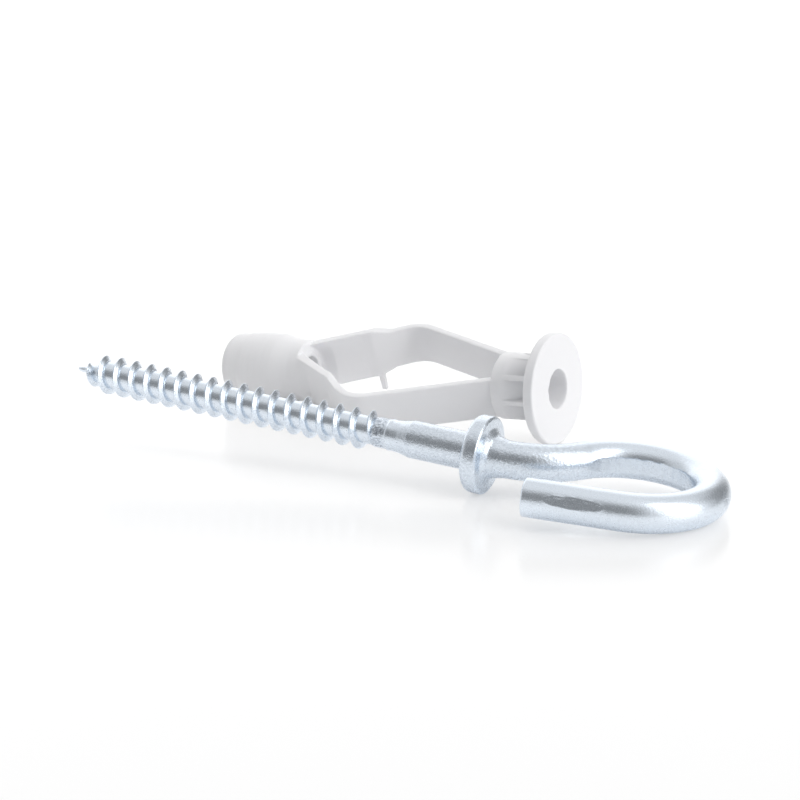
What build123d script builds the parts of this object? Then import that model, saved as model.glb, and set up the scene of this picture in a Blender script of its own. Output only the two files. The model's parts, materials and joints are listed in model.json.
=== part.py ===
from build123d import *
import os
from math import acos, asin, atan2, cos, degrees, radians, sin, sqrt

# Hook anchor: a zinc-plated screw hook with a formed collar, and the two-arm plastic cavity
# anchor that it is driven into. The two lie side by side on a flat surface, not yet assembled.
# Each piece is modelled along its own X axis and then laid down as it comes to rest:
# X runs along the screw from its tip to its hook, Z is up, millimetres throughout.

# ---------------------------------------------------------------- screw hook: driving dimensions
# Stations along the screw are measured from the collar's hook-side face, tip side negative.
wire_diameter = 4.5           # stock that the shank and the hook are formed from
screw_length = 56.5           # point to the collar's hook-side face
collar_diameter = 9.3
collar_thickness = 1.6
collar_rim_radius = 0.55      # rounding of the rolled rim
collar_cone_length = 1.05     # hook-side face runs down to the wire over this length
shank_length = 9.7            # full-diameter shank, collar included
flare_length = 2.4            # run from the slim relief up to the shank
relief_diameter = 3.7         # slim neck left by the thread rolls
relief_ridge_height = 0.14    # small ridge at the end of the relief
thread_diameter = 4.9
thread_core_diameter = 3.3
thread_pitch = 2.2
thread_end = 14.2             # last of the thread, from the collar's hook-side face
thread_crest_width = 0.22
thread_flank_angle = 60.0     # angle between the two flanks
thread_first_crest = 54.8     # where the crest first stands above the axis
needle_length = 1.2           # thin starting point
needle_diameter = 0.84
point_length = 2.9            # cone from the needle up to the full core
crest_growth_length = 3.6     # crest grows to its full height over this length
thread_runout = 0.8           # crest dies away over this length

hook_lead = 1.4               # straight wire between the collar and the first bend
hook_swan_radius = 9.7        # first bend, away from the axis (centre line)
hook_ring_radius = 9.1        # main bend (centre line)
hook_ring_offset = 0.2        # centre of the main bend beside the shank's axis
hook_ring_turn = 229.0        # degrees round the main bend
hook_tail = 10.6              # straight end
hook_end_chamfer = 0.25

# ------------------------------------------------------------------ anchor: driving dimensions
# Stations along the anchor are measured from the flange's front face towards the nose.
anchor_length = 49.2
flange_diameter = 14.2
flange_thickness = 1.0
flange_edge_radius = 0.2
anchor_bore_diameter = 5.3    # clears the screw's thread
neck_end = 7.3
neck_diameter = 8.6
neck_land = 1.0               # plain end of the neck, next to the arms
neck_pocket_depth = 0.85      # pockets between the ribs, deepest at the flange
neck_rib_count = 8
neck_rib_width = 0.75
arm_thickness = 1.1
arm_narrow_width = 5.4        # between the neck and the knuckle
arm_wide_width = 6.8          # between the knuckle and the nose
arm_overlap = 1.2             # arms run this far into the neck and the nose
arm_edge_gap = 2.0            # between the two arms' edges where they leave the nose
arm_flat_station = 31.2       # arms are curved like the nose up to here, flat from here on
arm_root_radius = 2.35        # inner face of an arm where it leaves the neck, from the axis
knee_station = 24.7           # corner of the knee before rounding
knee_radius_from_axis = 9.18
knee_bend_radius = 3.8        # bend radii are those of the inner face
knuckle_bend_radius = 2.5
knuckle_station = 30.0        # where the stiff wide part starts
knuckle_radius_from_axis = 5.3
shoulder_start = 29.8         # the wide part narrows to the slim part from here
shoulder_length = 1.7
hinge_station = 35.0          # hinge beside the nose
hinge_radius_from_axis = 2.95
nose_start = 37.1
nose_diameter = 8.7
nose_waist_diameter = 8.3     # beside the hinges
nose_waist_length = 1.6
nose_band_diameter = 9.2      # ringed grip band
nose_band_start = 41.0
nose_band_end = 46.3
nose_ring_count = 5
nose_ring_depth = 0.09
nose_end_radius = 1.1
nose_bore_diameter = 3.6      # the screw cuts its own thread here
nose_bore_lead = 2.2          # funnel that guides the screw's point
gate_tab_width = 0.9          # moulding gate left on one arm's lower edge
gate_tab_length = 2.3
gate_tab_station = 30.1

# ------------------------------------------------------------- how the two lie beside each other
anchor_offset_along = -1.2    # flange's front face from the collar's hook-side face
anchor_offset_across = 24.9
anchor_yaw = -5.8             # degrees, anchor's axis against the screw's
hook_roll = 1.8               # degrees, the open end of the hook lies a little lower

# ------------------------------------------------------------------------------ derived sizes
wire_radius = wire_diameter / 2
collar_radius = collar_diameter / 2
core_radius = thread_core_diameter / 2
crest_radius = thread_diameter / 2
tip = -screw_length
needle_end = tip + needle_length
point_end = needle_end + point_length
collar_back = -collar_thickness
shank_start = -shank_length
relief_end = shank_start - flare_length
relief_start = -thread_end
ring_centre_spacing = hook_swan_radius + hook_ring_radius
narrow_half = arm_narrow_width / 2
wide_half = arm_wide_width / 2
shoulder_end = shoulder_start - shoulder_length
bore_radius = anchor_bore_diameter / 2
neck_radius = neck_diameter / 2
nose_radius = nose_diameter / 2
band_radius = nose_band_diameter / 2
waist_radius = nose_waist_diameter / 2
swan_turn = degrees(acos((hook_swan_radius - hook_ring_offset) / ring_centre_spacing))


def blank_profile():
    """Half section of the turned and rolled blank, as (station, radius) points."""
    relief_radius = relief_diameter / 2
    ridge_radius = relief_radius + relief_ridge_height
    return [
        (tip, 0),
        (tip + needle_length / 2, needle_diameter / 2 * 0.85),
        (needle_end, needle_diameter / 2),
        (point_end, core_radius),
        (relief_start - 0.5, core_radius),
        (relief_start, relief_radius - 0.05),
        (relief_end - 0.55, relief_radius - 0.05),
        (relief_end - 0.4, ridge_radius),
        (relief_end - 0.2, ridge_radius),
        (relief_end, relief_radius),
        (relief_end + flare_length * 0.4, relief_radius + (wire_radius - relief_radius) * 0.2),
        (shank_start, wire_radius),
        (collar_back, wire_radius),
        (collar_back, collar_radius),
        (0, collar_radius),
        (collar_cone_length, wire_radius),
        (collar_cone_length, 0),
    ]


# ------------------------------------------------------------------------------- screw hook
with BuildPart() as thread:
    # One sharp-flanked ridge wound round the core, right-handed, sunk a little into the core.
    root_radius = core_radius - 0.12
    root_half_width = thread_crest_width / 2 + (crest_radius - root_radius) * sin(
        radians(thread_flank_angle / 2)
    ) / cos(radians(thread_flank_angle / 2))
    first_turn = -thread_first_crest - thread_pitch
    turns_height = -thread_end - first_turn
    with BuildLine() as ridge_path:
        Helix(thread_pitch, turns_height, root_radius, center=(first_turn, 0, 0), direction=(1, 0, 0))
    ridge_start = ridge_path.line @ 0
    outward = Vector(0, ridge_start.Y, ridge_start.Z).normalized()
    with BuildSketch(Plane(ridge_start, x_dir=outward, z_dir=ridge_path.line % 0)):
        with BuildLine():
            Polyline(
                (0, -root_half_width),
                (crest_radius - root_radius, -thread_crest_width / 2),
                (crest_radius - root_radius, thread_crest_width / 2),
                (0, root_half_width),
                close=True,
            )
        make_face()
    sweep(path=ridge_path.line, is_frenet=True)
    # Trim the ridge so that its crest grows from the point and runs out before the relief.
    clear_radius = crest_radius + 1
    with BuildSketch(Plane.XZ):
        with BuildLine():
            Polyline(
                (first_turn - thread_pitch, 0),
                (needle_end - 0.3, 0),
                (needle_end - 0.3, needle_diameter / 2),
                (needle_end - 0.3 + crest_growth_length, crest_radius + 0.1),
                (needle_end - 0.3 + crest_growth_length, clear_radius),
                (first_turn - thread_pitch, clear_radius),
                close=True,
            )
        make_face()
    revolve(axis=Axis.X, mode=Mode.SUBTRACT)
    with BuildSketch(Plane.XZ):
        with BuildLine():
            Polyline(
                (relief_start, 0),
                (relief_start, core_radius),
                (relief_start - thread_runout, crest_radius + 0.1),
                (relief_start - thread_runout, clear_radius),
                (relief_start + thread_pitch, clear_radius),
                (relief_start + thread_pitch, 0),
                close=True,
            )
        make_face()
    revolve(axis=Axis.X, mode=Mode.SUBTRACT)

with BuildPart() as screw_hook:
    with BuildSketch(Plane.XZ) as blank:
        with BuildLine():
            Polyline(*blank_profile(), close=True)
        make_face()
        rim = blank.vertices().filter_by(lambda corner: abs(corner.Y - collar_radius) < 0.01)
        fillet(rim, radius=collar_rim_radius)
    revolve(axis=Axis.X)
    with BuildLine() as hook_path:
        lead = Line((0, 0), (hook_lead, 0))
        swan = JernArc(lead @ 1, lead % 1, hook_swan_radius, swan_turn)
        ring = JernArc(swan @ 1, swan % 1, hook_ring_radius, -hook_ring_turn)
        Line(ring @ 1, ring @ 1 + (ring % 1) * hook_tail)
    with BuildSketch(Plane(hook_path.line @ 0, z_dir=hook_path.line % 0)):
        Circle(wire_radius)
    sweep(path=hook_path.line)
    hook_end = hook_path.line @ 1
    end_edges = screw_hook.edges().filter_by(GeomType.CIRCLE).sort_by_distance(hook_end)[0]
    chamfer(end_edges, length=hook_end_chamfer)
    add(thread.part)


# ------------------------------------------------------------------------------ wall anchor
def root_section(inner_middle, outer_middle, inner_edge, outer_edge):
    """Outline of an arm where it is curved across its width, as seen along the anchor's axis."""
    ThreePointArc((inner_edge, -wide_half), (inner_middle, 0), (inner_edge, wide_half))
    Line((inner_edge, wide_half), (outer_edge, wide_half))
    ThreePointArc((outer_edge, wide_half), (outer_middle, 0), (outer_edge, -wide_half))
    Line((outer_edge, -wide_half), (inner_edge, -wide_half))


with BuildPart() as arms:
    # Side view: each arm is a flat strip bent at its knuckle and its knee.
    root_slope = (knee_radius_from_axis - arm_root_radius) / (knee_station - neck_end)
    hinge_slope = (knuckle_radius_from_axis - hinge_radius_from_axis) / (hinge_station - knuckle_station)
    flat_radius = hinge_radius_from_axis + (hinge_station - arm_flat_station) * hinge_slope
    with BuildSketch(Plane.XY.offset(-wide_half)):
        with BuildLine():
            FilletPolyline(
                (-neck_end + arm_overlap, arm_root_radius - arm_overlap * root_slope),
                (-knee_station, knee_radius_from_axis),
                (-knuckle_station, knuckle_radius_from_axis),
                (-hinge_station, hinge_radius_from_axis),
                radius=[knee_bend_radius, knuckle_bend_radius],
            )
            offset(amount=arm_thickness, side=Side.RIGHT)
        make_face()
    extrude(amount=arm_wide_width)
    split(bisect_by=Plane.YZ.offset(-arm_flat_station), keep=Keep.TOP)
    # Face view: narrow from the neck to the shoulder, wide from there to the nose.
    arm_reach = arms.part.bounding_box().max.Y
    with BuildSketch(Plane.XZ.offset(-arm_reach)):
        with BuildLine():
            FilletPolyline(
                (0, narrow_half),
                (-shoulder_end, narrow_half),
                (-shoulder_start, wide_half),
                (-anchor_length, wide_half),
                radius=shoulder_length * 0.7,
            )
            Polyline((-anchor_length, wide_half), (-anchor_length, 0), (0, 0), (0, narrow_half))
        make_face()
        mirror(about=Plane.XZ)
    extrude(amount=2 * arm_reach, mode=Mode.INTERSECT)
    # From the nose each arm starts as part of a tube and flattens out towards its knuckle.
    nose_inner_edge = arm_edge_gap / 2
    nose_outer_edge = sqrt(waist_radius**2 - wide_half**2)
    flat_outer = flat_radius + arm_thickness * sqrt(1 + hinge_slope**2)
    edge_share = (nose_start - hinge_station) / (nose_start - arm_flat_station)
    hinge_inner_edge = nose_inner_edge + (flat_radius - nose_inner_edge) * edge_share
    hinge_outer_edge = nose_outer_edge + (flat_outer - nose_outer_edge) * edge_share
    with BuildSketch(Plane.YZ.offset(-nose_start - arm_overlap)):
        with BuildLine():
            root_section(hinge_radius_from_axis, waist_radius, nose_inner_edge, nose_outer_edge)
        make_face()
    extrude(amount=arm_overlap)
    with BuildSketch(Plane.YZ.offset(-nose_start)):
        with BuildLine():
            root_section(hinge_radius_from_axis, waist_radius, nose_inner_edge, nose_outer_edge)
        make_face()
    with BuildSketch(Plane.YZ.offset(-hinge_station)):
        with BuildLine():
            root_section(hinge_radius_from_axis, waist_radius, hinge_inner_edge, hinge_outer_edge)
        make_face()
    with BuildSketch(Plane.YZ.offset(-arm_flat_station)):
        with BuildLine():
            root_section(flat_radius, flat_outer, flat_radius - 0.02, flat_outer - 0.02)
        make_face()
    loft(ruled=True)
    mirror(about=Plane.XZ)

with BuildPart() as wall_anchor:
    # Flange, with its rim slightly rounded.
    with BuildSketch(Plane.YZ.offset(-flange_thickness)):
        Circle(flange_diameter / 2)
    extrude(amount=flange_thickness)
    fillet(wall_anchor.edges().filter_by(GeomType.CIRCLE), radius=flange_edge_radius)

    # Neck: a body that gets slimmer towards the flange, with ribs that keep the full diameter.
    with BuildSketch(Plane.XZ):
        with BuildLine():
            Polyline(
                (-flange_thickness / 2, 0),
                (-flange_thickness / 2, neck_radius - neck_pocket_depth),
                (-neck_end + neck_land, neck_radius),
                (-neck_end, neck_radius),
                (-neck_end, 0),
                close=True,
            )
        make_face()
    revolve(axis=Axis.X)
    rib_height = neck_radius - bore_radius - 0.3
    with BuildSketch(Plane.YZ.offset(-neck_end + neck_land / 2)):
        with PolarLocations(neck_radius - rib_height / 2 - 0.03, neck_rib_count):
            Rectangle(rib_height, neck_rib_width)
    extrude(amount=neck_end - neck_land / 2 - flange_thickness / 2)

    # Nose: waist beside the hinges, ringed grip band, rounded end.
    with BuildSketch(Plane.XZ) as nose_section:
        with BuildLine():
            Polyline(
                (-nose_start, 0),
                (-nose_start, waist_radius),
                (-nose_start - nose_waist_length, waist_radius),
                (-nose_band_start, band_radius - 0.1),
                (-nose_band_end, band_radius),
                (-nose_band_end - 0.15, nose_radius),
                (-anchor_length, nose_radius),
                (-anchor_length, 0),
                close=True,
            )
        make_face()
        nose_corner = nose_section.vertices().sort_by_distance((-anchor_length, nose_radius))[0]
        fillet(nose_corner, radius=nose_end_radius)
    revolve(axis=Axis.X)
    ring_pitch = (nose_band_end - nose_band_start) / nose_ring_count
    for ring in range(nose_ring_count):
        groove_station = nose_band_start + ring_pitch * (ring + 0.5)
        with BuildSketch(Plane.XZ):
            with Locations((-groove_station, band_radius)):
                Rectangle(ring_pitch * 0.3, 2 * nose_ring_depth)
        revolve(axis=Axis.X, mode=Mode.SUBTRACT)

    add(arms.part)

    # Gate tab on the lower edge of one arm.
    tab_radius = knuckle_radius_from_axis + arm_thickness / 2
    with BuildSketch(Plane.XY.offset(-wide_half + arm_thickness / 2)):
        with Locations((-gate_tab_station, tab_radius)):
            Rectangle(gate_tab_width, arm_thickness * 0.7)
    extrude(amount=-gate_tab_length - arm_thickness / 2, taper=2)

    # Bore through the flange and the neck, and the funnel and bore of the nose.
    with BuildSketch(Plane.YZ):
        Circle(bore_radius)
    extrude(amount=-neck_end, mode=Mode.SUBTRACT)
    with BuildSketch(Plane.XZ):
        with BuildLine():
            Polyline(
                (-nose_start, 0),
                (-nose_start, bore_radius),
                (-nose_start - nose_bore_lead, nose_bore_diameter / 2),
                (-anchor_length, nose_bore_diameter / 2),
                (-anchor_length, 0),
                close=True,
            )
        make_face()
    revolve(axis=Axis.X, mode=Mode.SUBTRACT)

# ------------------------------------------------------------------------- laying them down
# The screw lies on its collar's rim and on the far side of its hook.
hook_reach = (
    hook_lead
    + ring_centre_spacing * sin(radians(swan_turn))
    + hook_ring_radius
)
rim_centre_drop = collar_radius - collar_rim_radius
contact_distance = sqrt((hook_reach + collar_rim_radius) ** 2 + rim_centre_drop**2)
hook_pitch = degrees(
    atan2(rim_centre_drop, hook_reach + collar_rim_radius)
    - asin((wire_radius - collar_rim_radius) / contact_distance)
)
# The anchor lies on its flange, its nose band and the knee of its front arm.
anchor_pitch = degrees(atan2(flange_diameter / 2 - band_radius, nose_band_end - flange_thickness))
axis_height_at_knee = flange_diameter / 2 - knee_station * sin(radians(anchor_pitch))
knee_corner_radius = sqrt(arm_reach**2 + narrow_half**2)
anchor_roll = degrees(asin(axis_height_at_knee / knee_corner_radius) - atan2(narrow_half, arm_reach))


def laid(piece, roll, pitch, yaw, along, across):
    """The piece turned about its own axis, tipped, turned level, and set down on Z = 0."""
    turned = piece.rotate(Axis.X, roll).rotate(Axis.Y, pitch).rotate(Axis.Z, yaw)
    return turned.moved(Location((along, across, -turned.bounding_box().min.Z)))


hook_laid = laid(screw_hook.part, hook_roll, hook_pitch, 0, 0, 0)
anchor_laid = laid(
    wall_anchor.part, anchor_roll, -anchor_pitch, anchor_yaw, anchor_offset_along, anchor_offset_across
)

# The origin is the middle of the pair's footprint.
footprint = (Compound([hook_laid, anchor_laid])).bounding_box()
to_origin = Location((-footprint.center().X, -footprint.center().Y, 0))
screw_hook.part = hook_laid.moved(to_origin)
wall_anchor.part = anchor_laid.moved(to_origin)
screw_hook.part.label = "screw_hook"
wall_anchor.part.label = "wall_anchor"

os.makedirs("parts", exist_ok=True)
export_step(screw_hook.part, "parts/screw_hook.step")
export_step(wall_anchor.part, "parts/wall_anchor.step")
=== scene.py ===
# %% [markdown]
# # Hook anchor: a zinc-plated screw hook and its two-arm cavity anchor
# The two pieces lie side by side on a white table, as they come out of the packet. The first
# cell loads the imported model. Its mounts (the anchor's bore, the screw's thread, the hook) say
# where each piece's own axes lie.

# %% Load the model
import bmesh
import bpy
import json
from math import acos, atan2, cos, pi, radians, sin, sqrt, tau
from mathutils import Matrix, Vector, noise


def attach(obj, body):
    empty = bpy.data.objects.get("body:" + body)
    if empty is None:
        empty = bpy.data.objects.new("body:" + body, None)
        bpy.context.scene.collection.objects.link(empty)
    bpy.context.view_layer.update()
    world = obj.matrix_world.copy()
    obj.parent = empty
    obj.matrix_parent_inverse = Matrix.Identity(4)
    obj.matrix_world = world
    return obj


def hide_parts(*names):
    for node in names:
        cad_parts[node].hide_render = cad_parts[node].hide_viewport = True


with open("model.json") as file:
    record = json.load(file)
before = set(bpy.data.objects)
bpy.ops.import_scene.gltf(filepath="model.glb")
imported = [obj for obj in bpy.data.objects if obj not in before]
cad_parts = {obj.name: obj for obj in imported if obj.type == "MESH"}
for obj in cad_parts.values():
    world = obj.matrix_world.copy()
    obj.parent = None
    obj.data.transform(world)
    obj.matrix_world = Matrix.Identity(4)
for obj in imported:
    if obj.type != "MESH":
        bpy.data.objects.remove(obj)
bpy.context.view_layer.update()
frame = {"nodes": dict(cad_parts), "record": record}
mounts = {m["name"]: m for m in frame["record"]["mounts"]}
MM = 0.001


def in_mm(lengths):
    return [round(length / MM, 2) for length in lengths]


# %% [markdown]
# ## Each piece's own axes
# It is much easier to model a screw along its own axis than along the slanting line on which it
# lies. So both pieces are modelled in millimetres along their own X axis and are then laid down
# by one matrix each. The matrices come from the mounts: the screw's from its thread and its
# hook, the anchor's from its bore and the front of its flange. The screw's zero is the collar's
# face on the hook's side; the anchor's is the front of its flange, and the anchor lies behind it.

# %% Axes of the screw hook and of the anchor
thread_middle_station, bore_middle_station = 35, 3.65


def axes_from(origin, x_axis, z_axis):
    """Matrix that lays millimetres on a piece's own axes down in the frame, in metres."""
    x_axis = x_axis.normalized()
    y_axis = z_axis.cross(x_axis).normalized()
    z_axis = x_axis.cross(y_axis)
    columns = Matrix((x_axis, y_axis, z_axis)).transposed().to_4x4()
    return Matrix.Translation(origin) @ columns @ Matrix.Scale(MM, 4)


def place_of(name):
    """Where a mount is, and which way it points."""
    return Vector(mounts[name]["pos_m"]), Vector(mounts[name]["axis"])


thread_middle, towards_tip = place_of("screw_thread")
across_hook = place_of("hook")[1]
collar_centre = thread_middle - towards_tip * thread_middle_station * MM
screw_axes = axes_from(collar_centre, -towards_tip, across_hook)

bore_middle, out_of_bore = place_of("anchor_bore")
flange_point = place_of("flange_front")[0]
flange_centre = bore_middle + out_of_bore * bore_middle_station * MM
anchor_axes = axes_from(flange_centre, out_of_bore, flange_point - flange_centre)
print("screw origin, mm:", in_mm(screw_axes.translation))
print("anchor origin, mm:", in_mm(anchor_axes.translation))

# %% [markdown]
# ## Small helpers
# A mesh is welded, its normals are turned outwards, and every face is shaded smooth. `add_node`
# adds any node with its settings and its links, so a material reads as a list of what happens.
# Colours are written as hex values, as a paint chart gives them, and turned into the linear
# values that the renderer works with. `smooth_step` is the soft ramp that blends shapes.

# %% Mesh helpers
def add_piece(name, mesh):
    piece = bpy.data.objects.new(name, mesh)
    bpy.context.collection.objects.link(piece)
    print(name, len(mesh.vertices), "points,", len(mesh.polygons), "faces")
    return piece


def seal(mesh):
    """Merges points that coincide, turns the normals outward and shades the mesh smooth."""
    work = bmesh.new()
    work.from_mesh(mesh)
    bmesh.ops.remove_doubles(work, verts=work.verts, dist=1e-8)
    bmesh.ops.recalc_face_normals(work, faces=work.faces)
    work.to_mesh(mesh)
    work.free()
    shade_smooth(mesh)


def shade_smooth(mesh):
    mesh.polygons.foreach_set("use_smooth", [True] * len(mesh.polygons))


def piece_from(name, points, faces, axes):
    """A piece with its place in its mesh, from points on the given axes."""
    mesh = bpy.data.meshes.new(name)
    mesh.from_pydata([axes @ Vector(p) for p in points], [], faces)
    seal(mesh)
    return add_piece(name, mesh)


def bake_modifiers(piece):
    """Takes the piece's modifiers into its mesh."""
    ready = piece.evaluated_get(bpy.context.evaluated_depsgraph_get())
    mesh = bpy.data.meshes.new_from_object(ready)
    piece.modifiers.clear()
    piece.data = mesh


# %% Node and colour helpers
def add_node(tree, kind, inputs=None, **settings):
    """Adds a node; inputs may be values or the sockets that feed them."""
    node = tree.nodes.new(kind)
    for name, value in settings.items():
        setattr(node, name, value)
    for key, value in (inputs or {}).items():
        if isinstance(value, bpy.types.NodeSocket):
            tree.links.new(value, node.inputs[key])
        else:
            node.inputs[key].default_value = value
    return node


def empty_tree(owner):
    """The node tree of a material or of the world, without the nodes it comes with."""
    owner.use_nodes = True
    owner.node_tree.nodes.clear()
    return owner.node_tree


def linear(hex_colour):
    """A colour chart's hex value as linear red, green, blue and alpha."""
    parts = [int(hex_colour[i : i + 2], 16) / 255 for i in (1, 3, 5)]
    return [p / 12.92 if p <= 0.04045 else ((p + 0.055) / 1.055) ** 2.4 for p in parts] + [1.0]


# %% Ramps that blend shapes
def held(value):
    """The value, kept between 0 and 1."""
    return min(max(value, 0.0), 1.0)


def smooth_step(value, low, high):
    """0 up to low, 1 from high on, with a soft start and end between them."""
    t = held((value - low) / (high - low))
    return t * t * (3 - 2 * t)


def bump_at(value, middle, half_width):
    """1 at the middle, falling smoothly to 0 at half_width away."""
    return 1 - smooth_step(abs(value - middle), 0, half_width)


# %% [markdown]
# ## The screw's blank: one wire, headed, rolled and bent
# The real part starts as a length of 4.5 mm steel wire. A header squeezes the collar out of it,
# thread rolls press the slim relief and the core, and the free end is bent round a former. So
# the mesh is made in the same spirit: a half profile runs from the point to the collar, and
# rings of points follow it and then the bent centre line, as one closed skin.
# Every corner of the profile gets a radius, because rolled and headed steel has no sharp corner,
# and a rounded corner is what catches the light.

# %% Corners of the blank, from the point to the collar
wire, core, collar = 2.25, 1.65, 4.64    # radii
tip, needle_end, point_end = -56.5, -55.3, -52.4
relief_start, relief_end, shank_start = -14.2, -12.1, -9.7
collar_back, collar_edge, fillet_end = -1.85, 0.08, 2.3

# station, radius, rounding of the corner
blank_corners = [
    # the point: a needle that opens into a cone
    (tip, 0.0, 0.0),
    (tip + 0.12, 0.2, 0.1),
    (tip + 0.6, 0.34, 0.3),
    (needle_end, 0.42, 0.3),
    (point_end, core, 1.0),
    # the core and the relief, with a small ridge where the rolls stopped
    (relief_start - 0.5, core, 0.3),
    (relief_start, 1.8, 0.3),
    (relief_end - 0.62, 1.8, 0.12),
    (relief_end - 0.42, 1.9, 0.1),
    (relief_end - 0.22, 1.9, 0.1),
    (relief_end, 1.85, 0.12),
    (relief_end + 0.96, 1.93, 0.8),
    # the shank
    (shank_start - 0.04, wire - 0.03, 0.02),
    (shank_start, wire, 0.02),
    # the collar, whose face on the hook's side runs down to the wire like a trumpet
    (collar_back, wire, 0.16),
    (collar_back, collar, 0.85),
    (collar_edge, collar, 0.3),
    (0.25, 4.36, 0.25),
    (0.35, 3.3, 0.6),
    (0.85, 2.55, 0.7),
    (fillet_end, wire, 1.4),
]


# %% Round the corners
def rounded(corners, step):
    """Points along a line of corners, each turned with its own radius, step mm apart or less."""
    points = [Vector(corners[0][:2])]
    for before, corner, after in zip(corners, corners[1:], corners[2:]):
        p, q, r = (Vector(c[:2]) for c in (before, corner, after))
        rounding = corner[2]
        back, ahead = (p - q), (r - q)
        half = acos(max(-1, min(1, back.normalized().dot(ahead.normalized())))) / 2
        reach = rounding * cos(half) / max(sin(half), 1e-6)
        reach = min(reach, back.length * 0.48, ahead.length * 0.48)
        start, end = q + back.normalized() * reach, q + ahead.normalized() * reach
        bends = round((pi - 2 * half) * rounding / (step * 0.5))
        bends = min(max(bends, 3 if half < 1.45 else 1), 10)
        for n in range(bends + 1):
            t = n / bends
            points.append(start.lerp(q, t).lerp(q.lerp(end, t), t))
    points.append(Vector(corners[-1][:2]))
    dense = [points[0]]
    for point in points[1:]:
        start = dense[-1]
        gap = (point - start).length
        if gap < 0.004:
            continue
        pieces = max(1, int(gap / step))
        dense.extend(start.lerp(point, n / pieces) for n in range(1, pieces + 1))
    return dense


blank_profile = rounded(blank_corners, 0.16)
print("blank profile:", len(blank_profile), "points")

# %% [markdown]
# The hook's centre line is a short straight, a first bend away from the axis, the main bend round
# the former and a straight end: the shape that a bending jig with two pins makes. The turning
# angle of the first bend follows from the two radii and from where the former sits.

# %% Centre line of the hook
lead, swan_radius, ring_radius, ring_offset = 1.4, 9.7, 9.1, 0.2
ring_turn, tail = radians(229), 10.6
swan_turn = acos((swan_radius - ring_offset) / (swan_radius + ring_radius))
swan_length, ring_length = swan_radius * swan_turn, ring_radius * ring_turn
hook_length = lead + swan_length + ring_length + tail


def hook_line(s):
    """Centre line point and direction, s mm past the collar's face, flat in the hook's plane."""
    if s <= lead:
        return Vector((s, 0)), 0.0
    s -= lead
    if s <= swan_length:
        turned = s / swan_radius
        across = swan_radius * (1 - cos(turned))
        return Vector((lead + swan_radius * sin(turned), across)), turned
    s -= swan_length
    start = Vector((lead + swan_radius * sin(swan_turn), swan_radius * (1 - cos(swan_turn))))
    centre = start + ring_radius * Vector((sin(swan_turn), -cos(swan_turn)))
    heading = swan_turn - min(s / ring_radius, ring_turn)
    point = centre + ring_radius * Vector((-sin(heading), cos(heading)))
    s -= ring_length
    if s > 0:
        point += s * Vector((cos(heading), sin(heading)))
    return point, heading


first_bend = round(swan_turn * 180 / pi, 2)
print("hook centre line:", round(hook_length, 2), "mm, first bend", first_bend, "degrees")

# %% [markdown]
# ## Marks that the tools leave
# No formed wire is perfectly round. The jaws that close the hook leave a long oval flat on the
# outside of the straight end, the former leaves a flat along the inside of the bend, and the rolls
# leave the collar's edge slightly out of true. Each flat is pressed into the rings as they are
# made: a tenth or two of a millimetre is enough to break a highlight with a clean edge.

# %% Where the jaws and the former press
jaw_depth, jaw_side = 0.1, radians(20)
jaw_middle, jaw_reach = 5.9, 3.5    # measured back from the sawn end
former_depth, former_side = 0.2, radians(181)
kept_inside = 0.024    # taken off all round, so that the high spots stay inside the solid


def flat(radius, angle, middle, depth):
    """Radius of a wire with a flat pressed depth mm into its side that faces middle."""
    turned = cos(angle - middle)
    return min(radius, (radius - depth) / turned) if turned > 0.6 and depth > 0 else radius


def pressed(s, angle, radius):
    """Radius of the hook's wire, s mm past the collar's face; angle 0 is the hook's left, 90 up."""
    from_end = hook_length - s
    ragged = noise.noise(Vector((s * 0.9, 3.0, 1.0)))
    jaws = jaw_depth * (1 - ((from_end - jaw_middle) / jaw_reach) ** 2) * (1 + 0.3 * ragged)
    former = former_depth * smooth_step(s, 10.6, 13.4) * (1 - smooth_step(s, 27.5, 33.0))
    former *= 1 + 0.35 * ragged
    round_wire = radius
    radius = flat(radius, angle, jaw_side, jaws)
    if radius < round_wire:
        radius += 0.016 * noise.noise(Vector((s * 0.5, angle * 16, 5.0)))
        # the jaw's edge raises a small burr
        radius += 0.05 * (1 - smooth_step(round_wire - radius, 0.0, 0.03))
    radius = flat(radius, angle, former_side, former)
    # drawn wire wanders slowly and has a finer unevenness on top
    wander = noise.noise(Vector((s * 0.16, cos(angle) * 0.5, sin(angle) * 0.5))) * 0.018
    fine = noise.noise(Vector((s * 0.7, cos(angle) * 1.6, sin(angle) * 1.6))) * 0.008
    return radius + wander + fine - kept_inside


# %% Where the collar and the relief are out of true
def uneven(station, angle, radius):
    """Radius of the blank at a station, with the collar's rim and the relief not quite true."""
    rim = smooth_step(radius, 2.6, 4.3) * bump_at(station, -0.8, 3.0)
    relief = bump_at(station, -13.6, 1.4)
    wave = noise.noise(Vector((cos(angle) * 1.3, sin(angle) * 1.3, 7.0)))
    hammered = noise.noise(Vector((station * 2.2, cos(angle) * 6, sin(angle) * 6)))
    pits = noise.noise(Vector((station * 3.4, cos(angle) * 5.2, sin(angle) * 5.2)))
    out_of_round = radius * (1 + 0.012 * wave * rim)
    return out_of_round + 0.03 * hammered * rim + 0.05 * relief * pits * min(radius, 2) / 2


def dished(angle, shrink):
    """How far the sawn end stands off its own plane, shrink mm in from the wire's side."""
    inward = wire + 0.05 - shrink
    spot = Vector((cos(angle) * inward, sin(angle) * inward, 1.0))
    return 0.03 * noise.noise(spot) if shrink > 0.3 else 0.0


# %% Rings of the blank and the hook
ring_points = 96
screw_points, screw_faces, rings = [], [], []


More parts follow.
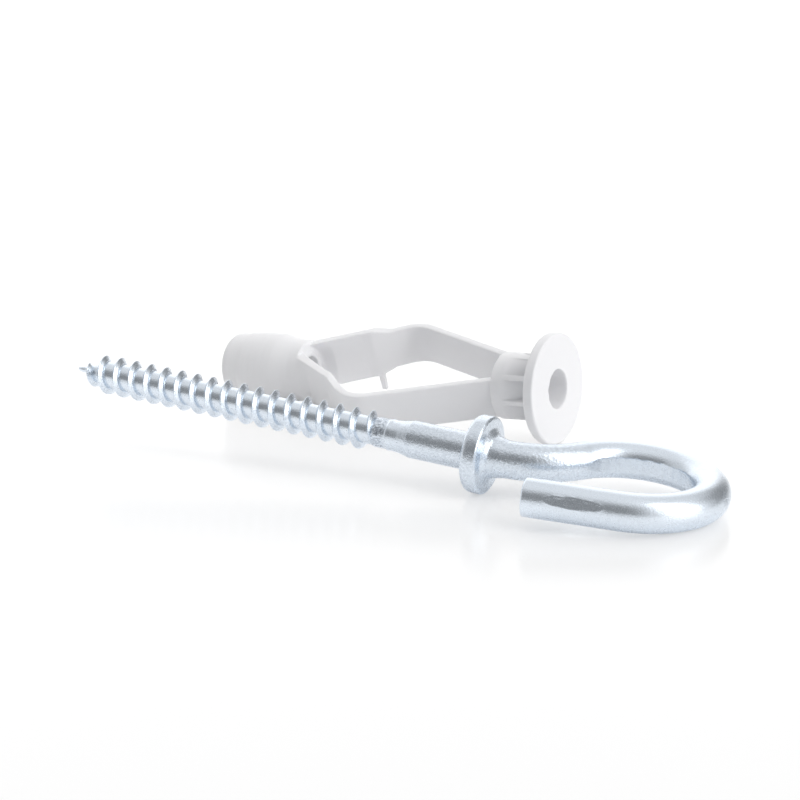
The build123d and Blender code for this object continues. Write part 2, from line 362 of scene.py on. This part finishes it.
def add_ring(centre, heading, radius_at, lean_at=lambda angle: 0.0):
    """A ring of points square to the centre line; lean_at moves each point along the line."""
    along = Vector((cos(heading), sin(heading), 0))
    left = Vector((-sin(heading), cos(heading), 0))
    rings.append(len(screw_points))
    for n in range(ring_points):
        angle = tau * n / ring_points
        out = left * cos(angle) + Vector((0, 0, 1)) * sin(angle)
        screw_points.append(centre.to_3d() + out * radius_at(angle) + along * lean_at(angle))


for station, radius in blank_profile[1:]:
    add_ring(*hook_line(station), lambda angle: uneven(station, angle, radius))

ring_gap, end_rounding = 0.2, 0.32
steps = int((hook_length - fillet_end) / ring_gap)
for n in range(1, steps + 1):
    s = fillet_end + (hook_length - fillet_end - end_rounding) * n / steps
    add_ring(*hook_line(s), lambda angle: pressed(s, angle, wire))

# the sawn end: a rounded edge, then a flat face that is not perfectly flat
end_steps = ((0.2, 0.02), (0.1, 0.09), (0.04, 0.2), (0.0, 0.36), (0.0, 0.9), (0.0, 1.6), (0.0, 2.0))
for back, shrink in end_steps:
    add_ring(
        *hook_line(hook_length - back),
        lambda angle: pressed(hook_length - 0.3, angle, wire) - shrink,
        lambda angle: dished(angle, shrink),
    )
print(len(rings), "rings of", ring_points, "points")

# %% Close the skin
tip_point, end_point = Vector((tip, 0, 0)), hook_line(hook_length)[0].to_3d()
tip_index, end_index = len(screw_points), len(screw_points) + 1
screw_points += [tip_point, end_point]
sides = [(n, (n + 1) % ring_points) for n in range(ring_points)]
for lower, upper in zip(rings, rings[1:]):
    screw_faces += [(lower + n, lower + m, upper + m, upper + n) for n, m in sides]
for n, m in sides:
    screw_faces.append((tip_index, rings[0] + m, rings[0] + n))
    screw_faces.append((end_index, rings[-1] + n, rings[-1] + m))
blank = piece_from("screw_blank", screw_points, screw_faces, screw_axes)

# %% [markdown]
# ## Where the tools leave the surface rough
# A material knows where it is on a piece only if the mesh tells it. So every point of the blank
# keeps a value from 0 to 1: high where the thread rolls pinched the relief and where the bend was
# knocked, and lower on the collar's rim, on the gripped wire and in the jaws' oval.

# %% Where the blank is pinched
to_screw = screw_axes.inverted()
end_heading = hook_line(hook_length)[1]
bend_start = lead + swan_length
bend_middle = (hook_line(bend_start)[0] + hook_line(bend_start + ring_radius * pi)[0]) / 2
outermost = (to_screw.to_3x3() @ Vector((1, 0, 0))).normalized()
# the bend was knocked against a stop, on its outermost side
knock = bend_middle.to_3d() + outermost * (ring_radius + 2.1) - Vector((0, 0, 0.3))


def pinched_at(place):
    """How rough the blank is at a place on the screw's own axes, from 0 to 1."""
    rough = smooth_step(place.x, -14.9, -14.3) * (1 - smooth_step(place.x, -13.1, -12.7))
    if place.y > -2.6:
        # the wire was gripped here to head the collar and to start the bend
        gripped = 0.35 * smooth_step(place.x, -12.5, -9) * (1 - smooth_step(place.x, 8, 14))
        rough = max(rough, gripped)
    if -1.9 < place.x < 0.05:
        rough = 0.3 * smooth_step(sqrt(place.y ** 2 + place.z ** 2), 4.2, 4.5)
    rough = max(rough, 1.0 - smooth_step((place - knock).length, 0.6, 1.3))
    away = place - end_point
    if away.length < 12 and place.y < 0:
        from_end = -away.x * cos(end_heading) - away.y * sin(end_heading)
        angle = atan2(away.z, away.y * cos(end_heading) - away.x * sin(end_heading))
        oval = 1 - ((from_end - jaw_middle) / jaw_reach) ** 2 - ((angle - 0.35) / 0.3) ** 2
        rough = max(rough, 0.22 * smooth_step(oval, 0.0, 0.15))
    return rough


pinched_spots = blank.data.attributes.new("rolled_rough", "FLOAT", "POINT").data
for spot, vertex in zip(pinched_spots, blank.data.vertices):
    spot.value = pinched_at(to_screw @ vertex.co)
print("points in pinched metal:", sum(spot.value > 0.5 for spot in pinched_spots))

# %% [markdown]
# ## Zinc plating on cold-formed steel
# The hook is bright electro-zinc: a thin crystalline coat over wire that was drawn, rolled and
# bent. To the eye it is a light, slightly blue metal with a satin gloss and a sparkle of fine
# grain, because each patch of crystals leans its own way and picks up a light or a dark part of
# the room. Where the rolls pinched the metal the surface is pitted. Metallic 1 with a light grey
# base makes the lamps' reflections do the shading; noise moves the roughness and the bump, and the
# value kept on the mesh says where the pits are.

# %% Zinc: three sizes of unevenness
zinc = bpy.data.materials.new("bright_zinc_plated_steel")
tree = empty_tree(zinc)
place = add_node(tree, "ShaderNodeTexCoord").outputs["Object"]
pinched = add_node(tree, "ShaderNodeAttribute", attribute_name="rolled_rough").outputs["Fac"]
fields = {}
for name, across, detail, roughness in (
    ("patches", 0.6, 3.0, 0.55),    # patches of the coat
    ("grain", 0.2, 3.0, 0.7),       # crystal grain, drawn coarser than it is, so that it shows
    ("pits", 0.3, 2.0, 0.6),        # pits of the pinched metal
):
    fields[name] = add_node(
        tree, "ShaderNodeTexNoise",
        {"Vector": place, "Scale": 1 / (across * MM), "Detail": detail, "Roughness": roughness},
    ).outputs["Fac"]
print(zinc.name, "noise fields:", list(fields))

# %% Zinc: a pale coat, with painted shade where the pits sink
tone = add_node(tree, "ShaderNodeMapRange", {"Value": fields["grain"], "From Min": 0.36, "From Max": 0.5})
coat = add_node(
    tree, "ShaderNodeMix",
    {"Factor": tone.outputs[0], 6: linear("#D8E0E9"), 7: linear("#DEE6EF")}, data_type="RGBA",
)
# painted shade: in the pinched metal the colour darkens towards #98A2AF where the pits sink; the pits'
# bump is their real relief
sunken = add_node(
    tree, "ShaderNodeMapRange",
    {"Value": fields["pits"], "From Min": 0.55, "From Max": 0.42, "To Max": 0.6},
)
shade = add_node(tree, "ShaderNodeMath", {0: sunken.outputs[0], 1: pinched}, operation="MULTIPLY")
colour = add_node(
    tree, "ShaderNodeMix",
    {"Factor": shade.outputs[0], 6: coat.outputs[2], 7: linear("#98A2AF")}, data_type="RGBA",
)
print("coat #D8E0E9 to #DEE6EF, pits #98A2AF")

# %% Zinc: satin gloss and relief
gloss = add_node(
    tree, "ShaderNodeMapRange",
    {"Value": fields["patches"], "From Min": 0.3, "From Max": 0.7, "To Min": 0.28, "To Max": 0.24},
)
mottle = add_node(
    tree, "ShaderNodeMapRange",
    {"Value": fields["grain"], "From Min": 0.3, "From Max": 0.7, "To Min": 0.03, "To Max": -0.03},
)
rough = add_node(tree, "ShaderNodeMath", {0: gloss.outputs[0], 1: mottle.outputs[0]}, operation="ADD")
relief = None
for name, strength, depth in (("grain", 1.0, 0.02), ("patches", 0.3, 0.02), ("pits", pinched, 0.11)):
    under = {"Normal": relief.outputs[0]} if relief else {}
    relief = add_node(
        tree, "ShaderNodeBump",
        {"Height": fields[name], "Strength": strength, "Distance": depth * MM, **under},
    )
shader = add_node(
    tree, "ShaderNodeBsdfPrincipled",
    {"Base Color": colour.outputs[2], "Metallic": 1.0, "Roughness": rough.outputs[0],
     "Normal": relief.outputs[0]},
)
add_node(tree, "ShaderNodeOutputMaterial", {"Surface": shader.outputs[0]})
print(zinc.name, len(tree.nodes), "nodes")

# %% [markdown]
# ## The thread: a ridge that follows a rule, so Geometry Nodes makes it
# A rolled thread is one ridge wound round the core. Its path is a spiral whose radius follows the
# core: it starts small at the point, widens with the cone and then stays level. The ridge is
# thinnest at its crest, and its foot is sunk a little into the core so that no gap can show. It
# grows from next to nothing at the point and dies away before the relief. The tree takes the
# outline, the pitch and those stations as named inputs, so another screw is made by changing
# numbers only.

# %% Outline of the ridge, from root to root over the crest
pitch, crest = 2.2, 2.45
ridge_height, sunk = crest - core, 0.1
half_root, half_crest = 0.46, 0.08

# (height above the core, distance along the axis): steep at the foot, then a slope that leans
# back enough to look past the next ridge, then a narrow rounded crest
foot = [(0.0, half_root), (0.15, half_root - 0.012), (0.27, half_root - 0.045), (0.35, half_root - 0.09)]
low, high = Vector((0.4, half_root - 0.13)), Vector((ridge_height - 0.08, half_crest))
slope = [tuple(low.lerp(high, t)) for t in (0.0, 0.5, 1.0)]
one_side = [(-sunk, half_root)] + foot + slope + [(ridge_height - 0.025, half_crest - 0.03)]
other_side = [(height, -along) for height, along in reversed(one_side)]
ridge_outline = one_side + [(ridge_height, 0.0)] + other_side

outline = bpy.data.curves.new("ridge_outline", "CURVE")
outline.dimensions = "3D"
spline = outline.splines.new("POLY")
spline.points.add(len(ridge_outline) - 1)
for spot, (height, along) in zip(spline.points, ridge_outline):
    spot.co = (height, along, 0, 1)
spline.use_cyclic_u = True
outline_piece = bpy.data.objects.new("ridge_outline", outline)
bpy.context.collection.objects.link(outline_piece)
print("ridge outline:", len(ridge_outline), "points,", round(ridge_height, 2), "mm high")

# %% Inputs of the tree that winds the ridge
thread_start, thread_end = -55.35, -14.3
thread_sizes = {
    "Pitch": pitch, "Turns": (thread_end - thread_start) / pitch,
    "Core radius": core, "Tip radius": 0.42,
    # measured along the axis from where the thread starts
    "Taper start": 0.05, "Taper end": 2.95, "Grown at": 1.2, "Fades from": 40.0, "Gone at": 41.05,
}
winding = bpy.data.node_groups.new("rolled_thread", "GeometryNodeTree")
winding.interface.new_socket("Outline", in_out="INPUT", socket_type="NodeSocketObject")
for name in thread_sizes:
    winding.interface.new_socket(name, in_out="INPUT", socket_type="NodeSocketFloat")
winding.interface.new_socket("Geometry", in_out="OUTPUT", socket_type="NodeSocketGeometry")
given = add_node(winding, "NodeGroupInput").outputs
print("turns of the thread:", round(thread_sizes["Turns"], 2))

# %% Tree: a spiral whose radius follows the core
rise = add_node(winding, "ShaderNodeMath", {0: given["Pitch"], 1: given["Turns"]}, operation="MULTIPLY")
spiral = add_node(
    winding, "GeometryNodeCurveSpiral",
    {"Resolution": 56, "Rotations": given["Turns"], "Start Radius": 1.0, "End Radius": 1.0,
     "Height": rise.outputs[0], "Reverse": True},
)
position = add_node(winding, "GeometryNodeInputPosition").outputs[0]
where = add_node(winding, "ShaderNodeSeparateXYZ", {0: position}).outputs
core_here = add_node(
    winding, "ShaderNodeMapRange",
    {"Value": where["Z"], "From Min": given["Taper start"], "From Max": given["Taper end"],
     "To Min": given["Tip radius"], "To Max": given["Core radius"]},
).outputs[0]
on_core = {"Z": where["Z"]}
for side in "XY":
    on_core[side] = add_node(
        winding, "ShaderNodeMath", {0: where[side], 1: core_here}, operation="MULTIPLY",
    ).outputs[0]
moved = add_node(winding, "ShaderNodeCombineXYZ", on_core)
path = add_node(
    winding, "GeometryNodeSetPosition", {"Geometry": spiral.outputs[0], "Position": moved.outputs[0]},
)
upright = add_node(winding, "GeometryNodeSetCurveNormal", {"Curve": path.outputs[0]}, mode="Z_UP")
print("spiral path:", len(winding.nodes), "nodes so far")

# %% Tree: the ridge grows, is swept along the spiral and dies away
least = 0.12
shares = []
for start, end, before, after in (
    ("Taper start", "Grown at", least, 1.0), ("Fades from", "Gone at", 1.0, least),
):
    shares.append(add_node(
        winding, "ShaderNodeMapRange",
        {"Value": where["Z"], "From Min": given[start], "From Max": given[end],
         "To Min": before, "To Max": after}, interpolation_type="SMOOTHSTEP",
    ).outputs[0])
share = add_node(winding, "ShaderNodeMath", dict(enumerate(shares)), operation="MULTIPLY")
profile = add_node(winding, "GeometryNodeObjectInfo", {"Object": given["Outline"]})
ridge = add_node(
    winding, "GeometryNodeCurveToMesh",
    {"Curve": upright.outputs[0], "Profile Curve": profile.outputs["Geometry"],
     "Scale": share.outputs[0], "Fill Caps": True},
)
real = add_node(winding, "GeometryNodeRealizeInstances", {"Geometry": ridge.outputs[0]})
plated = add_node(winding, "GeometryNodeSetMaterial", {"Geometry": real.outputs[0], "Material": zinc})
add_node(winding, "NodeGroupOutput", {"Geometry": plated.outputs[0]})
print("whole tree:", len(winding.nodes), "nodes")

# %% Wind the thread and keep it as a plain mesh
thread = bpy.data.objects.new("screw_thread", bpy.data.meshes.new("screw_thread"))
bpy.context.collection.objects.link(thread)
modifier = thread.modifiers.new("nodes", "NODES")
modifier.node_group = winding
sockets = {s.name: s.identifier for s in winding.interface.items_tree if s.in_out == "INPUT"}
modifier[sockets["Outline"]] = outline_piece
for name, size in thread_sizes.items():
    modifier[sockets[name]] = size
bake_modifiers(thread)
bpy.data.objects.remove(outline_piece)
# the tree winds along its own Z, so its axes are turned round to put Z along the screw
along_screw = Matrix(((0, 0, 1, thread_start), (1, 0, 0, 0), (0, 1, 0, 0), (0, 0, 0, 1)))
thread.data.transform(screw_axes @ along_screw)
seal(thread.data)
print("thread:", len(thread.data.vertices), "points,", len(thread.data.polygons), "faces")

# %% [markdown]
# ## The anchor: one moulding
# The anchor comes out of the mould in one shot of plastic: flange, ribbed neck, two bent arms and
# a nose. The solid's own mesh has its shape, but a moulding has no sharp corner anywhere, since
# the steel of the mould is polished and plastic shrinks away from it. So a copy of the solid is
# welded, remeshed finely and evenly, and smoothed a little: every edge and every inner corner
# gets a small radius at once. What is finer than the new mesh's step is pressed back in afterwards:
# the pockets between the neck's ribs, the edge of the nose's hole and the rings of the grip band.

# %% Copy, weld and remesh the anchor
moulding = bpy.data.objects.new("anchor_moulding", frame["nodes"]["wall_anchor"].data.copy())
bpy.context.collection.objects.link(moulding)
moulding.data.materials.clear()
moulding.data.transform(anchor_axes.inverted())
weld = bmesh.new()
weld.from_mesh(moulding.data)
bmesh.ops.remove_doubles(weld, verts=weld.verts, dist=0.0005)
weld.to_mesh(moulding.data)
weld.free()
remesh = moulding.modifiers.new("remesh", "REMESH")
remesh.mode, remesh.voxel_size, remesh.adaptivity = "VOXEL", 0.13, 0.0
soften = moulding.modifiers.new("soften", "SMOOTH")
soften.factor, soften.iterations = 0.5, 3
bake_modifiers(moulding)
print("remeshed anchor:", len(moulding.data.polygons), "faces")

# %% Sizes pressed in after the remesh, in mm behind the flange's front
flange_back, neck_end, bore_end = 1.0, 6.1, 7.6
neck_radius, bore_radius, mouth_radius = 4.3, 2.65, 2.52
pocket_end, pocket_depth, rib_half_width = 5.7, 1.3, 0.36
nose_face, funnel_end, hole_radius = 37.1, 39.3, 2.0
waist, band_start, band_end, ring_count, ring_depth = 38.2, 41.0, 46.3, 5, 0.025
wedge = pi / 4    # from one of the neck's eight ribs to the next
up = (anchor_axes.inverted().to_3x3() @ Vector((0, 0, 1))).normalized()


def pocket(station, angle):
    """Depth of the neck's pockets: eight wedges between ribs, deepest at the flange."""
    ramp_down = held((pocket_end - station) / (pocket_end - flange_back - 0.2))
    from_arm = min(abs(angle), abs(abs(angle) - pi))
    across = from_arm / wedge % 1.0
    to_rib = neck_radius * wedge * min(across, 1 - across)
    if to_rib < rib_half_width:
        return 0.0
    return pocket_depth * ramp_down * (1.05 - (0.5 if from_arm < wedge else 0.9) * across)


def nose_shell(station, angle):
    """Radius of the nose, which swells from its waist to the grip band and draws in past it."""
    swell = 0.45 * smooth_step(station, 38, 42)
    draw_in = 0.25 * smooth_step(station, band_end - 0.5, band_end + 0.6)
    along_band = (station - band_start) / (band_end - band_start)
    wave = 0.5 - 0.5 * cos(tau * along_band * ring_count)
    wave *= smooth_step(station, band_start, band_start + 0.4)
    wave *= 1 - smooth_step(station, band_end - 0.4, band_end)
    worn = 0.6 + 0.8 * noise.noise(Vector((station * 0.5, angle * 1.3, 2.0)))
    return 4.15 + swell - draw_in - ring_depth * wave * worn


# %% Press them in
for vertex in moulding.data.vertices:
    station, radius = -vertex.co.x, sqrt(vertex.co.y ** 2 + vertex.co.z ** 2)
    angle, new_radius = atan2(vertex.co.z, vertex.co.y), radius
    if radius > 3.2 and flange_back + 0.12 < station < neck_end:
        new_radius = neck_radius - pocket(station, angle)
    elif radius < 2.8 and station < bore_end:
        new_radius = radius * mouth_radius / bore_radius
    elif nose_face - 0.2 < station < funnel_end and radius < bore_radius + 0.01:
        # the nose's face runs in to the edge of its hole
        t = held((station - nose_face) / (funnel_end - nose_face))
        new_radius = max(bore_radius - t / 0.75 * (bore_radius - hole_radius), hole_radius)
        station = nose_face + max(t - 0.75, 0.0) / 0.25 * (funnel_end - nose_face)
    elif radius > 3.6 and waist < station < band_end + 1.1:
        blend = smooth_step(station, waist, waist + 0.8)
        blend *= 1 - smooth_step(station, band_end + 0.7, band_end + 1.1)
        new_radius = radius + (nose_shell(station, angle) - radius) * blend
    if station < 1.3:
        # the flange is a little thicker than its solid, on both faces
        outer = smooth_step(radius, 4.35, 4.7)
        station -= 0.2 * (1 - smooth_step(station, 0.2, 0.8))
        station += 0.2 * outer * smooth_step(station, 0.2, 0.8)
    # the nose is a shade fuller than its solid; it swells upwards, off the table
    fuller = smooth_step(station, 39, 41.5)
    station += 0.2 * smooth_step(station, 47, 49)
    grow = new_radius * (1 + 0.02 * fuller) / max(radius, 1e-6)
    vertex.co = Vector((-station, vertex.co.y * grow, vertex.co.z * grow)) + up * (0.1 * fuller)
stations = [-vertex.co.x for vertex in moulding.data.vertices]
print("anchor's length, mm:", round(max(stations) - min(stations), 2))

# %% Thin the anchor's mesh, mark the painted shade in the neck's pockets and lay it down
most_faces = 95000
thinning_and_painted_shade = moulding.modifiers.new("thinning_and_painted_shade", "DECIMATE")
thinning_and_painted_shade.ratio = min(1.0, most_faces / len(moulding.data.polygons))
bake_modifiers(moulding)
# painted shade: a point in one of the neck's pockets gets a value up to 1, by how far it lies below the
# neck's radius
painted_shade_spots = moulding.data.attributes.new("painted_pocket_shade", "FLOAT", "POINT").data
for spot, vertex in zip(painted_shade_spots, moulding.data.vertices):
    station, radius = -vertex.co.x, sqrt(vertex.co.y ** 2 + vertex.co.z ** 2)
    if flange_back + 0.1 < station < pocket_end and radius > 2.8:
        spot.value = held((neck_radius - 0.05 - radius) / pocket_depth)
moulding.data.transform(anchor_axes)
shade_smooth(moulding.data)
print("anchor:", len(moulding.data.polygons), "faces")

# %% [markdown]
# ## Natural polypropylene, injection moulded
# The anchor is a tough, bendable plastic without pigment, so it is milky white: light enters a
# little way and comes out again, which softens the shading at thin edges. A polished mould leaves
# a smooth skin with a broad, weak gloss. A very shallow unevenness, a millimetre or two across,
# comes from shrinkage, and keeps the highlights from looking machined. At the bottom of the neck's
# pockets the plastic is painted greyer the deeper it lies: painted shade, for the shade that falls
# in the pockets. The mesh carries a value for that.

# %% Plastic: shrinkage, skin, and colour with painted shade in the pockets
plastic = bpy.data.materials.new("moulded_natural_polypropylene")
tree = empty_tree(plastic)
place = add_node(tree, "ShaderNodeTexCoord").outputs["Object"]
sink, skin = (
    add_node(tree, "ShaderNodeTexNoise", {"Vector": place, "Scale": 1 / (across * MM), "Detail": 2.0})
    for across in (2.2, 0.3)
)
thinning_and_painted_shade = add_node(tree, "ShaderNodeAttribute", attribute_name="painted_pocket_shade").outputs["Fac"]
# painted shade: the plastic turns from #F2F2F4 to #C4C5C8 the deeper it lies in the neck's pockets
tone = add_node(
    tree, "ShaderNodeMix",
    {"Factor": thinning_and_painted_shade, 6: linear("#F2F2F4"), 7: linear("#C4C5C8")}, data_type="RGBA",
)
print("plastic #F2F2F4, #C4C5C8 where the wall is thin")

# %% Plastic: soft gloss, and light that enters a little way
gloss = add_node(
    tree, "ShaderNodeMapRange",
    {"Value": skin.outputs["Fac"], "From Min": 0.3, "From Max": 0.7, "To Min": 0.4, "To Max": 0.52},
)
soft = add_node(
    tree, "ShaderNodeBump",
    {"Height": sink.outputs["Fac"], "Strength": 0.5, "Distance": 0.05 * MM},
)
fine = add_node(
    tree, "ShaderNodeBump",
    {"Height": skin.outputs["Fac"], "Strength": 0.3, "Distance": 0.008 * MM, "Normal": soft.outputs[0]},
)
shader = add_node(
    tree, "ShaderNodeBsdfPrincipled",
    {"Base Color": tone.outputs[2], "Roughness": gloss.outputs[0], "IOR": 1.49, "Normal": fine.outputs[0],
     "Subsurface Weight": 0.35, "Subsurface Radius": (1.0, 1.0, 1.0), "Subsurface Scale": 0.4 * MM},
)
add_node(tree, "ShaderNodeOutputMaterial", {"Surface": shader.outputs[0]})
print(plastic.name, len(tree.nodes), "nodes")

# %% [markdown]
# ## Hand the pieces to the frame
# Nothing here moves on its own, so every piece rides on the one body. The blank stands for the
# screw hook's solid and the moulding for the anchor's, and those two solids are hidden. The thread
# replaces nothing: it is an extra piece on the blank.

# %% Materials, body and hidden solids
for piece, material, slot in (
    (blank, zinc, "zinc_plated_steel"),
    (thread, zinc, "zinc_plated_steel"),
    (moulding, plastic, "moulded_plastic"),
):
    piece.data.materials.clear()
    piece.data.materials.append(material)
    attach(piece, "root")
    print(piece.name, "is", material.name)
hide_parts("screw_hook")
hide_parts("wall_anchor")

# %% [markdown]
# ## The white table
# A sheet of coated white paper. It takes the pieces' shadows and, being coated, a faint reflection
# of them. What the camera sees of it is lifted a little, so that it reads as clean white paper
# away from the shadows; what the metal mirrors of it is lifted less.

# %% Floor
reach = 3
corners = [(-reach, -reach, 0), (reach, -reach, 0), (reach, reach, 0), (-reach, reach, 0)]
floor = piece_from("floor", corners, [(0, 1, 2, 3)], Matrix.Identity(4))

# %% Paper
paper = bpy.data.materials.new("white_paper")
tree = empty_tree(paper)
seen = add_node(tree, "ShaderNodeLightPath").outputs
sheet = add_node(
    tree, "ShaderNodeMix",
    {"Factor": seen["Is Camera Ray"], 6: linear("#FAFAFA"), 7: linear("#BCBCBC")}, data_type="RGBA",
)
coated = add_node(
    tree, "ShaderNodeBsdfPrincipled",
    {"Base Color": sheet.outputs[2], "Roughness": 0.2, "Specular IOR Level": 0.15},
)
direct, mirrored = (
    add_node(tree, "ShaderNodeMath", {0: seen[ray], 1: amount}, operation="MULTIPLY")
    for ray, amount in (("Is Camera Ray", 0.43), ("Is Glossy Ray", 0.18))
)
lift = add_node(tree, "ShaderNodeMath", {0: direct.outputs[0], 1: mirrored.outputs[0]}, operation="ADD")
glow = add_node(tree, "ShaderNodeEmission", {"Color": (1, 1, 1, 1), "Strength": lift.outputs[0]})
both = add_node(tree, "ShaderNodeAddShader", {0: coated.outputs[0], 1: glow.outputs[0]})
add_node(tree, "ShaderNodeOutputMaterial", {"Surface": both.outputs[0]})
floor.data.materials.append(paper)
print(paper.name, len(tree.nodes), "nodes")

# %% [markdown]
# ## Soft studio light
# Small bright metal is lit with large white surfaces, because metal shows what stands round it.
# Here the room itself is the lamp: white all round and overhead, with a darker gap on the side
# where the camera stands. That gap is what draws the dark band along the wire. Each patch of the
# room has a compass direction and a height, both with soft edges, and adds to the walls' level or
# takes from it.

# %% Directions in the room
world = bpy.data.worlds.new("light_tent")
bpy.context.scene.world = world
tree = empty_tree(world)
direction = add_node(tree, "ShaderNodeTexCoord").outputs["Generated"]
height = add_node(tree, "ShaderNodeSeparateXYZ", {0: direction}).outputs["Z"]
level = add_node(tree, "ShaderNodeVectorMath", {0: direction, 1: (1, 1, 0)}, operation="MULTIPLY")
compass = add_node(tree, "ShaderNodeVectorMath", {0: level.outputs[0]}, operation="NORMALIZE").outputs[0]


def towards(azimuth, core_width, edge_width):
    """1 within core_width degrees of a compass direction (0 is +Y, 90 is +X), 0 past edge_width."""
    middle = (sin(radians(azimuth)), cos(radians(azimuth)), 0)
    facing = add_node(tree, "ShaderNodeVectorMath", {0: compass, 1: middle}, operation="DOT_PRODUCT")
    return add_node(
        tree, "ShaderNodeMapRange",
        {"Value": facing.outputs["Value"], "From Min": cos(radians(edge_width)),
         "From Max": cos(radians(core_width))}, interpolation_type="SMOOTHSTEP",
    ).outputs[0]


def climbing(start, end):
    """0 at an elevation of start degrees and 1 at end, which may be the lower of the two."""
    return add_node(
        tree, "ShaderNodeMapRange",
        {"Value": height, "From Min": sin(radians(start)), "From Max": sin(radians(end))},
        interpolation_type="SMOOTHSTEP",
    ).outputs[0]


def between(foot, top, fade):
    """1 between two elevations, fading over 12 degrees at the foot and over fade at the top."""
    under = climbing(top + fade, top)
    if not foot:
        return under
    return add_node(
        tree, "ShaderNodeMath", {0: under, 1: climbing(foot - 6, foot + 6)}, operation="MULTIPLY",
    ).outputs[0]


# %% The walls, patch by patch
base, ceiling = 0.85, 0.92
walls = base
for share, azimuth, core_width, edge_width, foot, top, fade in (
    (2.25, 97, 6, 25, 5, 58, 10),      # the key softbox, at the right
    (0.54, -40, 28, 52, 0, 38, 24),    # the white wall at the back on the left
    (-0.56, 185, 30, 54, 0, 38, 32),   # the gap where the camera stands
    (-0.14, -100, 20, 40, 0, 40, 20),  # and its left side
    (-0.54, 25, 14, 34, 0, 30, 16),    # the gap between the wall and the softbox
):
    sides = {0: towards(azimuth, core_width, edge_width), 1: between(foot, top, fade)}
    patch = add_node(tree, "ShaderNodeMath", sides, operation="MULTIPLY")
    part = add_node(tree, "ShaderNodeMath", {0: patch.outputs[0], 1: share}, operation="MULTIPLY")
    walls = add_node(tree, "ShaderNodeMath", {0: walls, 1: part.outputs[0]}, operation="ADD").outputs[0]
print("walls:", base, "with", len(tree.nodes), "nodes")

# %% The ceiling, and the whole room
overhead = add_node(
    tree, "ShaderNodeMath", {0: climbing(58, 72), 1: ceiling - base}, operation="MULTIPLY",
)
strength = add_node(tree, "ShaderNodeMath", {0: walls, 1: overhead.outputs[0]}, operation="ADD")
room = add_node(
    tree, "ShaderNodeBackground", {"Color": linear("#FFFFFF"), "Strength": strength.outputs[0]},
)
add_node(tree, "ShaderNodeOutputWorld", {"Surface": room.outputs[0]})
print(world.name, len(tree.nodes), "nodes")

# %% [markdown]
# ## The camera
# A fairly long lens, low over the table: the far end of the screw stays only a little smaller
# than the hook.

# %% Camera
view_data = bpy.data.cameras.new("camera")
view_data.lens, view_data.sensor_width = 99.3, 36
view_data.clip_start, view_data.clip_end = 0.01, 20
camera = bpy.data.objects.new("camera", view_data)
bpy.context.collection.objects.link(camera)
looked_at, stand_off = Vector((-15.464, 25.391, 0)) * MM, Vector((126.2, -266.3, 71.3)) * MM
camera.location = looked_at + stand_off
camera.rotation_euler = (looked_at - camera.location).to_track_quat("-Z", "Y").to_euler()
bpy.context.scene.camera = camera
bpy.context.scene.view_settings.view_transform = "Standard"
print("camera stands", round(stand_off.length / MM), "mm off")
